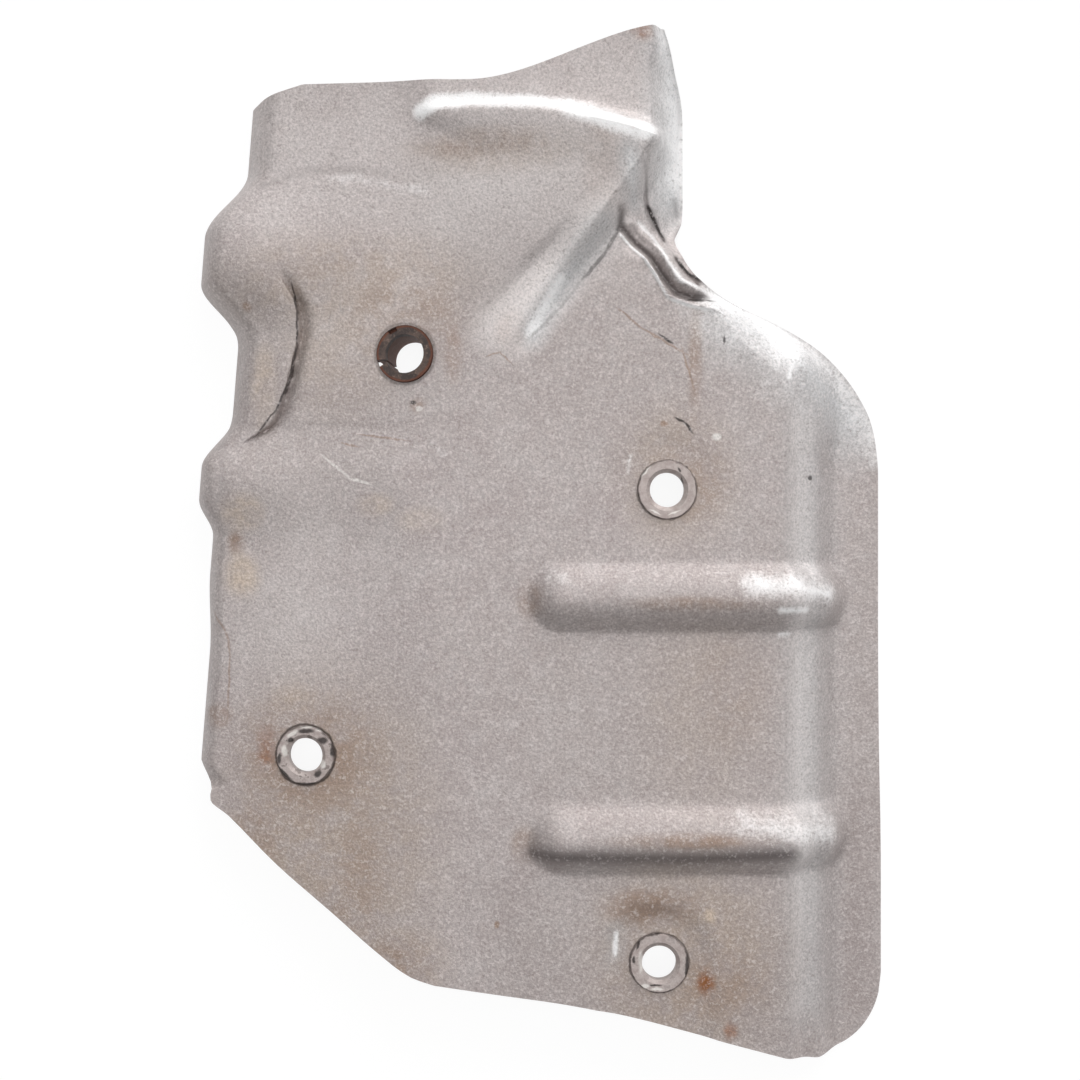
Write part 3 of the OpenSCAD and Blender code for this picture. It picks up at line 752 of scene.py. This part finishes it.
# %% Holes
HOLE_R = {"right_upper": 5.1, "right_lower": 5.1, "left_lower": 5.1, "bush": 7.0}
PUNCH_LEN, PUNCH_SIDES = 12, 96


def punch(piece, name):
    """Cuts a fixing's hole, along the fixing's own axis."""
    bpy.ops.object.select_all(action="DESELECT")
    bpy.ops.mesh.primitive_cylinder_add(
        vertices=PUNCH_SIDES, radius=HOLE_R[name] * MM, depth=PUNCH_LEN * MM,
        location=seat_middle(name) * MM, rotation=(*seat_turn(name), 0))
    cutter = bpy.context.active_object
    bpy.context.view_layer.objects.active = piece
    cut = piece.modifiers.new("punch", "BOOLEAN")
    cut.operation = "DIFFERENCE"
    cut.solver = "EXACT"
    cut.object = cutter
    bpy.ops.object.modifier_apply(modifier=cut.name)
    bpy.data.objects.remove(cutter)


for name in HOLE_R:
    punch(sheet, name)
bpy.ops.object.select_all(action="DESELECT")
sheet.select_set(True)
bpy.context.view_layer.objects.active = sheet
bpy.ops.object.shade_smooth_by_angle(angle=math.radians(50))
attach(sheet, "root")
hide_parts("shield_panel")
print("sheet:", len(sheet.data.polygons), "faces")

# %% [markdown]
# ## The sheet's finish: wear, dirt, and painted light and shade
#
# Edges that hands and neighbours rubbed are bright, and painted highlights lie on the ridge, the
# shoulder, the collar and the beads' ends. Creases hold black dirt, and painted shade lies in the
# creases, on the left wall and under the beads. Both are laid on as strokes, as with a soft brush.
# Three more sets of wide strokes make the tone paler, dimmer or cooler: the paler tone is partly
# painted light, and the cooler one is a painted reflection on slopes that face the right. Stains
# are soft ovals. The sheet keeps each set as a number at its points, so no image is needed. Places
# are read off the picture in its pixels, and found again on the sheet at its own height there,
# because the camera sees high parts larger.

# %% Places in the picture
SEEK_ROUNDS, SEEK_SHARE = 4, 0.7


def on_sheet(across, down):
    """The place on the sheet's outer face, in mm, that the picture shows at this pixel."""
    level = FACE_Z
    for _ in range(SEEK_ROUNDS):
        x, y = picture_point(across, down, level)
        found = float(outer_height(np.array(x), np.array(y - SHIFT_Y)))
        level = mix(level, found, SEEK_SHARE)
    return x, y


print("the picture's middle is at", np.round(on_sheet(PICTURE_PX / 2, PICTURE_PX / 2), 1))

# %% Strokes
# Each stroke: its strength, half its width in mm, and its path in pixels
# Rubbed edges, with painted highlights on the ridge, the shoulder, the collar and the beads' ends
RUBBED_AND_HIGHLIT = (
    (1.3, 3.4, ((422, 111), (434, 103), (470, 100), (540, 103), (570, 107))),
    (1.4, 4.6, ((570, 108), (600, 116), (625, 124), (645, 130))),
    (0.9, 11.0, ((722, 300), (750, 308), (774, 326), (786, 345))),
    (0.35, 14.0, ((700, 320), (760, 345), (790, 390))),
    (0.5, 7.0, ((805, 350), (835, 375), (864, 420), (876, 455))),
    (0.85, 1.4, ((795, 345), (789, 378))),
    (0.75, 10.0, ((674, 30), (682, 90), (678, 180))),
    (0.9, 2.4, ((561, 278), (545, 306), (529, 332))),
    (0.75, 5.5, ((752, 584), (770, 587), (800, 586))),
    (0.7, 4.4, ((800, 588), (828, 594))),
    (0.25, 1.3, ((632, 574), (732, 574))),
    (0.5, 3.4, ((550, 577), (565, 577))),
    (0.8, 1.9, ((782, 610), (806, 610))),
    (0.7, 1.6, ((779, 635), (789, 635))),
    (0.5, 6.5, ((745, 826), (830, 832))),
    (0.4, 2.4, ((428, 440), (446, 455))),
    (0.9, 0.8, ((620, 234), (631, 246), (643, 257), (655, 274), (668, 298), (690, 306),
                (714, 311))),
    (0.7, 1.6, ((638, 222), (652, 236), (662, 250), (670, 264), (682, 281), (702, 289))),
    (0.6, 1.4, ((630, 455), (629, 472))),
    (0.9, 1.3, ((616, 932), (615, 955))),
    (0.5, 3.6, ((631, 158), (631, 178))),
    (0.4, 3.4, ((330, 179), (360, 178), (390, 185), (425, 190))),
)
# Dirt in creases, with painted shade in the creases, on the left wall and under the beads
GRIME_AND_SHADE = (
    (0.18, 1.9, ((598, 184), (560, 224), (515, 272), (470, 322))),
    (0.25, 3.4, ((505, 284), (470, 322))),
    (0.9, 1.4, ((622, 227), (636, 243), (652, 258), (663, 275), (676, 292), (692, 297),
                (706, 297))),
    (1.0, 1.0, ((676, 258), (686, 272), (700, 281))),
    (0.55, 1.3, ((645, 162), (647, 190), (648, 207))),
    (1.0, 1.2, ((648, 207), (655, 222), (664, 240))),
    (0.8, 2.0, ((621, 210), (621, 228))),
    (0.15, 3.6, ((535, 613), (560, 619), (640, 620), (770, 619))),
    (0.75, 4.4, ((532, 853), (560, 858), (700, 859), (790, 855))),
    (0.5, 2.2, ((674, 200), (678, 222), (676, 240))),
    (0.35, 3.0, ((808, 625), (838, 625))),
    (0.3, 4.0, ((222, 445), (224, 490))),
    (0.35, 2.4, ((292, 285), (297, 310), (297, 345), (290, 380), (276, 410))),
    (0.4, 3.6, ((632, 906), (672, 910))),
    (0.35, 2.4, ((262, 186), (290, 176), (320, 171), (365, 170), (385, 174))),
    (0.2, 1.3, ((246, 429), (320, 427), (405, 429))),
    (0.3, 1.4, ((662, 110), (664, 160), (662, 200))),
    (0.25, 1.2, ((676, 70), (679, 120), (676, 165))),
)
# A paler tone, partly painted light on the diagonal flank, the right step and the plateau
PALE_AND_LIT = (
    (0.7, 34.0, ((470, 180), (560, 150), (610, 150))),
    (0.4, 34.0, ((280, 150), (400, 150))),
    (1.3, 11.0, ((612, 205), (562, 262), (507, 325))),
    (0.7, 5.0, ((800, 420), (800, 1000))),
    (0.5, 16.0, ((330, 330), (400, 290))),
    (0.3, 26.0, ((300, 560), (300, 640))),
)
DIM = (
    (0.8, 26.0, ((640, 1010), (800, 980))),
    (0.8, 10.0, ((855, 800), (855, 1000))),
    (0.5, 14.0, ((500, 900), (540, 1000))),
)
# A cooler tone: a painted reflection on the steep slopes that face the right
COOL_REFLECTION = (
    (0.4, 11.0, ((812, 430), (812, 1000))),
    (0.8, 16.0, ((740, 320), (790, 350), (850, 420))),
    (0.8, 5.0, ((606, 222), (562, 285), (532, 334))),
    (0.9, 11.0, ((672, 30), (676, 90), (672, 200))),
    (0.7, 4.0, ((630, 150), (634, 200))),
    (0.4, 4.0, ((616, 930), (612, 960))),
)
print("strokes:", [len(strokes) for strokes in (RUBBED_AND_HIGHLIT, GRIME_AND_SHADE, PALE_AND_LIT, DIM, COOL_REFLECTION)])

# %% Stains
# Each stain: its middle in pixels, its two radii in mm, and its strength
# The long thin brown ovals under the beads' crowns, and the brown and beige ovals just under the
# ridge, are painted shade where the sheet faces away from the light
STAINS = {
    "beige": (
        ((350, 282), (28, 11), 0.5), ((340, 350), (14, 14), 0.4), ((330, 830), (24, 34), 0.6),
        ((675, 475), (13, 15), 0.55), ((700, 715), (14, 22), 0.3), ((690, 955), (20, 22), 0.6),
        ((500, 150), (20, 5), 0.35), ((395, 960), (12, 10), 0.5)),
    "brown": (
        ((408, 322), (12, 9), 0.42), ((305, 754), (15, 13), 0.55), ((250, 842), (6, 9), 0.4),
        ((330, 925), (7, 7), 0.35), ((392, 972), (8, 7), 0.5), ((360, 880), (5, 14), 0.25),
        ((690, 480), (8, 8), 0.35), ((650, 907), (10, 4), 0.75), ((720, 985), (9, 7), 0.4),
        ((478, 143), (14, 3), 0.4), ((530, 600), (3, 4), 0.5), ((524, 845), (3, 4), 0.5),
        ((700, 604), (14, 1.8), 0.55), ((690, 842), (16, 1.8), 0.7), ((735, 690), (8, 12), 0.2),
        ((236, 543), (2, 2.6), 0.7), ((219, 716), (3, 2.4), 0.85), ((695, 360), (1.6, 13), 0.5),
        ((453, 350), (2.2, 7), 0.5), ((600, 160), (4, 12), 0.2), ((417, 405), (1.5, 1.5), 0.6),
        ((681, 510), (1.2, 1.6), 0.7), ((247, 306), (1.0, 1.0), 0.8)),
    "tan": (
        ((264, 388), (3.0, 9), 0.6), ((242, 512), (4.4, 4), 0.7), ((242, 574), (4, 5), 0.7),
        ((375, 505), (4, 2.4), 0.5), ((420, 520), (5, 3), 0.3), ((300, 700), (6, 3), 0.3),
        ((710, 916), (1.2, 1.6), 0.9)),
    "rust": (
        ((267, 748), (2.2, 4.4), 0.85), ((706, 983), (1.9, 2.6), 0.95),
        ((731, 1031), (1.5, 1.6), 0.9), ((510, 331), (3.4, 4.2), 0.16),
        ((643, 30), (2.6, 1.6), 0.9)),
}
print("stains:", {name: len(stains) for name, stains in STAINS.items()})


# %% Painting
def painted(strokes, x, y):
    """How strongly these strokes lie on each place."""
    share = np.zeros(len(x))
    for strength, half, path in strokes:
        near = to_path(x, y, [on_sheet(*pixel) for pixel in path])
        share = np.maximum(share, strength * (1 - clamp(near / half)))
    return share


def blotted(stains, x, y):
    """How strongly these oval stains lie on each place."""
    share = np.zeros(len(x))
    for pixel, radii, strength in stains:
        cx, cy = on_sheet(*pixel)
        far = np.hypot((x - cx) / radii[0], (y - cy) / radii[1])
        share = np.maximum(share, strength * (1 - ramp(0.4, 1.6, far)))
    return share


sheet_x, sheet_y, _ = points_of(sheet).T / MM
layers = {"rubbed_and_highlit": painted(RUBBED_AND_HIGHLIT, sheet_x, sheet_y), "grime_and_shade": painted(GRIME_AND_SHADE, sheet_x, sheet_y),
          "pale_and_lit": painted(PALE_AND_LIT, sheet_x, sheet_y), "dim": painted(DIM, sheet_x, sheet_y),
          "cool_reflection": painted(COOL_REFLECTION, sheet_x, sheet_y)}
for name, stains in STAINS.items():
    layers[name] = blotted(stains, sheet_x, sheet_y)
for name, share in layers.items():
    sheet.data.attributes.new(name, "FLOAT", "POINT").data.foreach_set("value", share)
    print(name, "covers", round(100 * float(np.mean(share > 0.1)), 1), "% of the points")

# %% [markdown]
# ## The sheet's finish: metal, stains and marks
#
# The aluminium has gone dull and warm grey from heat, with a fine stipple of light and dark
# grains. Brown and beige stains lie round the fixings and the bulges, where hot gas and rust
# got at it, and a few brown ovals are painted shade. Small marks come last: scratches, pits,
# and the dirt and painted shade in the thinnest creases.
# Each kind of mark is gathered into one share and mixed in once, because a material with too
# many mixes in a row is more than the renderer can take.

# %% Sheet metal
metal = Finish("heat_dulled_aluminium")
fine = metal.noise(0.6, 2, 0.7)
grain = metal.noise(1.2, 3, 0.8)
patch = metal.noise(4, 4, 0.6)
mottle = metal.noise(14, 5, 0.6)
cloud = metal.noise(60, 3, 0.5)
colour = metal.mix(metal.step(mottle, 0.3, 0.7), tone(183, 172, 170), tone(194, 185, 183))
colour = metal.mix(metal.step(cloud, 0.35, 0.65) * 0.6, colour, tone(184, 174, 171))
colour = metal.mix(metal.step(patch, 0.4, 0.7) * 0.35, colour, tone(204, 197, 196))
# The paler tone is partly painted light
colour = metal.mix(metal.layer("pale_and_lit") * 0.9, colour, tone(236, 229, 227))
colour = metal.mix(metal.layer("dim") * 0.6, colour, tone(164, 152, 149))
# The cooler tone is a painted reflection of the room
colour = metal.mix(metal.layer("cool_reflection") * 0.8, colour, tone(214, 217, 219))
print("metal so far:", len(metal.tree.nodes), "nodes")

# %% Stained metal
BROWN = tone(158, 132, 114)
STAIN_SHADES = {"beige": tone(178, 159, 143), "brown": BROWN, "tan": tone(208, 190, 172),
                "rust": tone(150, 96, 56)}
blotchy = metal.step(mottle * 0.5 + patch * 0.5, 0.38, 0.6, 0.35, 1.15)
for name, shade in STAIN_SHADES.items():
    colour = metal.mix(metal.layer(name) * blotchy, colour, shade)
print("stained:", sorted(STAIN_SHADES))

# %% Wear and dirt, with painted highlights and painted shade
# Rubbed edges with painted highlights, and dirt with painted shade
rubbed_and_highlit, grime_and_shade = metal.layer("rubbed_and_highlit"), metal.layer("grime_and_shade")
worn_and_highlit = metal.step(rubbed_and_highlit + (patch - 0.5) * 0.5 + (grain - 0.5) * 0.6, 0.15, 0.95)
worn_and_highlit = worn_and_highlit * metal.step(rubbed_and_highlit, 0.0, 0.25)
dirt_and_shade = metal.step(grime_and_shade + (patch - 0.5) * 0.3 + (fine - 0.5) * 0.4, 0.1, 1.0)
dirt_and_shade = dirt_and_shade * metal.step(grime_and_shade, 0.0, 0.2)
# Rubbed metal and painted highlights go near white
colour = metal.mix(worn_and_highlit, colour, tone(250, 249, 249))
# Dirt and painted shade go dark
colour = metal.mix(dirt_and_shade * 0.85, colour, tone(70, 60, 59))
print("metal so far:", len(metal.tree.nodes), "nodes")

# %% Thin lines and small spots
MARK_SHADES = {"black": tone(38, 32, 31), "white": tone(238, 234, 230), "brown": BROWN}
SPOT_STRENGTH = 0.8
# Each thin line: its strength, half its width in mm, its shade, and its path in pixels
# The black lines are dirt and painted shade in the thinnest creases and gaps
FINE_LINES = (
    (0.8, 0.25, "black", ((292, 285), (297, 310), (297, 345), (290, 380), (276, 410), (260, 430))),
    (0.6, 0.5, "black", ((617, 230), (608, 250), (584, 278))),
    (0.2, 0.4, "black", ((584, 278), (560, 308), (530, 338))),
    (0.9, 0.4, "black", ((648, 207), (655, 222), (664, 240))),
    (0.9, 0.4, "black", ((679, 262), (689, 274), (700, 280))),
    (0.8, 0.4, "black", ((690, 300), (712, 301))),
    (0.6, 0.3, "brown", ((620, 310), (642, 328), (683, 352), (693, 386))),
    (0.9, 0.3, "black", ((660, 335), (672, 343))),
    (0.9, 0.3, "black", ((676, 418), (684, 422), (692, 432))),
    (0.6, 0.25, "brown", ((488, 356), (500, 352), (510, 362))),
    (0.7, 0.3, "white", ((325, 458), (350, 478), (370, 485))),
    (0.6, 0.25, "brown", ((363, 435), (402, 440))),
    (0.6, 0.25, "brown", ((343, 443), (356, 447))),
    (0.5, 0.3, "brown", ((214, 614), (226, 631), (230, 654), (228, 706))),
)
# Each spot: its shade, its middle in pixels, and its two radii in mm
SPOTS = (
    ("black", (724, 340), (0.3, 1.0)), ("black", (810, 478), (0.6, 0.6)),
    ("black", (686, 468), (0.5, 0.7)), ("black", (413, 402), (0.8, 0.5)),
    ("white", (717, 437), (1.0, 0.8)), ("white", (419, 409), (0.9, 0.7)),
    ("white", (690, 503), (0.4, 1.0)), ("brown", (664, 424), (0.9, 0.7)),
    ("brown", (497, 925), (0.6, 0.9)),
)
frayed = metal.wander(2.5, 0.5)


def fine_line(path, half, strength):
    """A thin line through places in the picture, as a chain of long ovals."""
    ovals = []
    for start, end in zip(path[:-1], path[1:]):
        (ax, ay), (bx, by) = on_sheet(*start), on_sheet(*end)
        run = math.hypot(bx - ax, by - ay)
        turn = math.degrees(math.atan2(by - ay, bx - ax))
        oval = metal.spot(frayed, ((ax + bx) / 2, (ay + by) / 2), (0.62 * run, half), turn, 0.45)
        ovals.append(oval * strength)
    return ovals


for name, mark_shade in MARK_SHADES.items():
    marks = []
    for strength, half, shade, path in FINE_LINES:
        if shade == name:
            marks += fine_line(path, half, strength)
    for shade, pixel, radii in SPOTS:
        if shade == name:
            marks.append(metal.spot(frayed, on_sheet(*pixel), radii, 0.0, 0.4) * SPOT_STRENGTH)
    colour = metal.mix(metal.highest(marks), colour, mark_shade)
    print(name, "marks:", len(marks))

# %% Stipple
stipple = metal.mix(metal.step(fine, 0.3, 0.7), tone(222, 222, 222), tone(255, 255, 255))
colour = metal.mix(1.0 - worn_and_highlit * 0.8, colour, stipple, "MULTIPLY")
colour = metal.mix(metal.step(grain, 0.52, 0.68) * 0.45, colour, tone(220, 212, 210))
dark_grain = metal.step(grain, 0.44, 0.3) * (0.45 - worn_and_highlit * 0.35)
colour = metal.mix(dark_grain, colour, tone(142, 130, 127))
print("metal so far:", len(metal.tree.nodes), "nodes")

# %% Dark rings round the fixings
# Each dark ring: its radius and half its width in mm, and its strength
RINGS = {"right_upper": (7.25, 0.3, 0.5), "right_lower": (7.25, 0.35, 0.6),
         "left_lower": (7.4, 0.5, 0.8), "bush": (7.3, 0.7, 0.4)}


def dark_ring_at(name):
    """A thin dark ring on the sheet at a fixing's edge."""
    radius, half, strength = RINGS[name]
    away = metal.distance(frayed, seat_middle(name))
    off = metal.node("ShaderNodeMath", {"operation": "ABSOLUTE"}, {0: away - radius * MM})
    return metal.step(off, half * MM, 0.2 * half * MM) * strength


rings = metal.highest([dark_ring_at(name) for name in RINGS])
colour = metal.mix(rings, colour, tone(48, 38, 34))
print("rings of dirt:", len(RINGS))

# %% The sheet's own material
relief = metal.bump(0.5, 0.2, fine * 0.5 + grain + mottle * 0.6)
rough = metal.step(grain, 0.2, 0.8, 0.5, 0.62) - worn_and_highlit * 0.15
sheet.data.materials.append(metal.close(Base_Color=colour, Metallic=0.4 - worn_and_highlit * 0.25,
                                        Roughness=rough, Normal=relief))

# %% [markdown]
# ## Eyelets and bush
#
# The eyelets are plated steel that took the sheet's own colour from the heat. The lower left
# one has lost its plating in patches, and the bush is dark rusted steel. Their shapes are the
# CAD solids, so only their materials are made here.

# %% Plated steel
FLANGE_R, FLANGE_EDGE_W = 7.2, 0.35
DARK_PATCH, LIGHT_FLAKE = tone(36, 30, 29), tone(226, 221, 216)


def eyelet_finish(name, seat, bare, black, flakes):
    """Plated steel, with black patches and light flakes at places read off the picture."""
    finish = Finish(name)
    fine = finish.noise(0.5, 2, 0.6)
    blot = finish.noise(2.2, 4, 0.65)
    frayed = finish.wander(1.6, 0.5)
    colour = finish.mix(finish.step(blot, 0.35, 0.65), tone(164, 151, 147), tone(190, 179, 175))
    colour = finish.mix(finish.step(fine, 0.55, 0.7) * 0.5, colour, tone(206, 198, 195))
    colour = finish.mix(finish.step(blot, 0.56, 0.6) * bare, colour, tone(74, 60, 54))
    for shade, marks in ((DARK_PATCH, black), (LIGHT_FLAKE, flakes)):
        for pixel, radii, turn in marks:
            share = finish.spot(frayed, picture_point(*pixel), radii, turn, 0.4)
            colour = finish.mix(share * 0.9, colour, shade)
    away = finish.distance(frayed, seat_middle(seat))
    edge = finish.step(away, (FLANGE_R - FLANGE_EDGE_W) * MM, FLANGE_R * MM)
    colour = finish.mix(edge * finish.step(blot, 0.3, 0.6, 0.3, 0.8), colour, tone(56, 47, 44))
    colour = finish.mix(finish.step(fine, 0.35, 0.65) * 0.12, colour, tone(120, 108, 104))
    relief = finish.bump(0.6, 0.2, blot + fine * 0.4)
    return finish.close(Base_Color=colour, Metallic=0.35, Roughness=0.5, Normal=relief)


# %% Eyelets
# Each eyelet: its seat, how much plating is lost, its black patches and its light flakes. A mark
# has its middle in pixels, its two radii in mm and its turn in degrees.
EYELETS = {
    "eyelet_right_upper": ("right_upper", 0.15, (
        ((682, 484), (0.25, 1.6), 0), ((655, 500), (1.2, 0.25), -40), ((679, 470), (0.3, 0.8), 30)),
        (((645, 472), (0.3, 2.6), -40), ((655, 512), (1.6, 0.2), -25),
         ((674, 513), (1.6, 0.2), 20))),
    "eyelet_right_lower": ("right_lower", 0.3, (
        ((687, 970), (0.45, 4.4), 0), ((683, 985), (0.5, 2.0), -35), ((659, 933), (3.0, 0.25), 0),
        ((638, 945), (0.35, 1.2), -20), ((634, 960), (0.4, 0.9), 0), ((668, 992), (2.6, 0.3), 20),
        ((655, 985), (1.6, 0.25), 0)),
        (((645, 986), (1.2, 0.5), 0), ((657, 989), (1.4, 0.4), 0), ((641, 962), (0.6, 2.6), 0))),
    "eyelet_left_lower": ("left_lower", 0.6, (
        ((283, 730), (2.6, 0.7), 45), ((305, 732), (1.9, 0.6), 0), ((289, 741), (0.9, 0.6), 20),
        ((322, 741), (1.2, 0.8), 0), ((332, 752), (0.6, 1.3), 0), ((283, 775), (2.6, 0.5), -45),
        ((304, 785), (3.4, 0.4), 0), ((317, 775), (1.0, 0.7), 30), ((278, 760), (0.5, 1.4), 0)),
        (((306, 727), (1.8, 0.5), 0), ((291, 735), (1.4, 0.5), 30), ((320, 730), (1.2, 0.6), 0),
         ((283, 752), (0.7, 1.4), 0), ((322, 765), (0.7, 1.0), 0))),
}


def dress(node_name, material):
    """Gives a CAD solid this material in place of its own."""
    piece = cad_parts[node_name]
    piece.data.materials.clear()
    piece.data.materials.append(material)


for node_name, (seat, bare, black, flakes) in EYELETS.items():
    dress(node_name, eyelet_finish(node_name + "_steel", seat, bare, black, flakes))

# %% Rusted steel
# The bush's rim is farther than this from the point on its axis that lies 3 mm above the sheet
RIM_FROM, RIM_EDGE_W, RIM_RAGGED_W = 6.6, 0.5, 1.2
RIM_CENTRE_ABOVE = 3.0
rusting = Finish("rusted_steel")
rust_fine = rusting.noise(0.7, 3, 0.65)
rust_blot = rusting.noise(3.0, 5, 0.65)
rust_colour = rusting.mix(rusting.step(rust_blot, 0.42, 0.6), tone(64, 54, 51), tone(92, 76, 69))
rust_grains = rusting.step(rust_fine, 0.55, 0.7) * 0.6
rust_colour = rusting.mix(rust_grains, rust_colour, tone(136, 114, 102))
from_middle = rusting.distance(rusting.place, seat_middle("bush", RIM_CENTRE_ABOVE))
rim = rusting.step(from_middle + (rust_blot - 0.5) * (RIM_RAGGED_W * MM),
                   RIM_FROM * MM, (RIM_FROM + RIM_EDGE_W) * MM)
rust_colour = rusting.mix(rim * 0.8, rust_colour, tone(104, 58, 38))
rust_relief = rusting.bump(0.7, 0.3, rust_blot + rust_fine * 0.5)
dress("split_bush", rusting.close(Base_Color=rust_colour, Metallic=0.15, Roughness=0.65,
                                  Normal=rust_relief))
